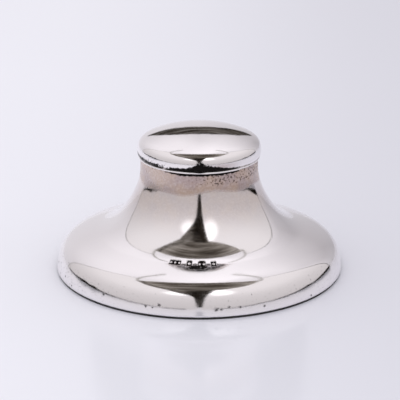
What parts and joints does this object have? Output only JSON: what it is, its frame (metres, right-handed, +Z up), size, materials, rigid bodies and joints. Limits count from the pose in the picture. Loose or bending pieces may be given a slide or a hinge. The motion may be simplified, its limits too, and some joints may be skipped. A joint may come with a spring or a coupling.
{
  "type": "inkwell",
  "caption": "Round silver capstan inkwell with a wide sweeping loaded foot, a short neck, a low domed lid hinged at the back and a flanged glass liner.",
  "frame": {"origin": "centre of the underside, on the surface it stands on", "axes": "+Z up along the axis of the body, +Y towards the hinge, +X along the hinge pin"},
  "size_m": [0.115, 0.115, 0.0591],
  "materials": {
    "silver": "polished sterling silver, slightly tarnished",
    "pin_silver": "drawn wire",
    "brass": "dull drawn tube",
    "plaster": "cast plaster",
    "wood": "turned, unvarnished",
    "leather": "thin skived leather, matt",
    "glass": "clear moulded glass"
  },
  "bodies": {
    "base": {"body_shell": "silver", "foot_wire": "silver", "mouth_rim": "silver", "well_collar": "silver", "well_tube": "brass", "well_floor": "brass", "loading": "plaster", "base_board": "wood", "base_pad": "leather", "hinge_body_plate": "silver", "hinge_body_knuckles": "silver", "hinge_pin": "pin_silver"},
    "liner": {"glass_liner": "glass"},
    "lid": {"lid_cap": "silver", "lid_bezel": "silver", "lid_lining": "silver", "hinge_lid_plate": "silver", "hinge_lid_knuckles": "silver"}
  },
  "joints": [
    {"name": "lid_hinge", "type": "hinge", "parent": "base", "child": "lid", "pos_m": [0, 0.02615, 0.0475], "axis": [-1, 0, 0], "range_deg": [0, 110]},
    {"name": "liner_lift", "type": "slide", "parent": "base", "child": "liner", "axis": [0, 0, 1], "range_m": [0, 0.001]}
  ]
}
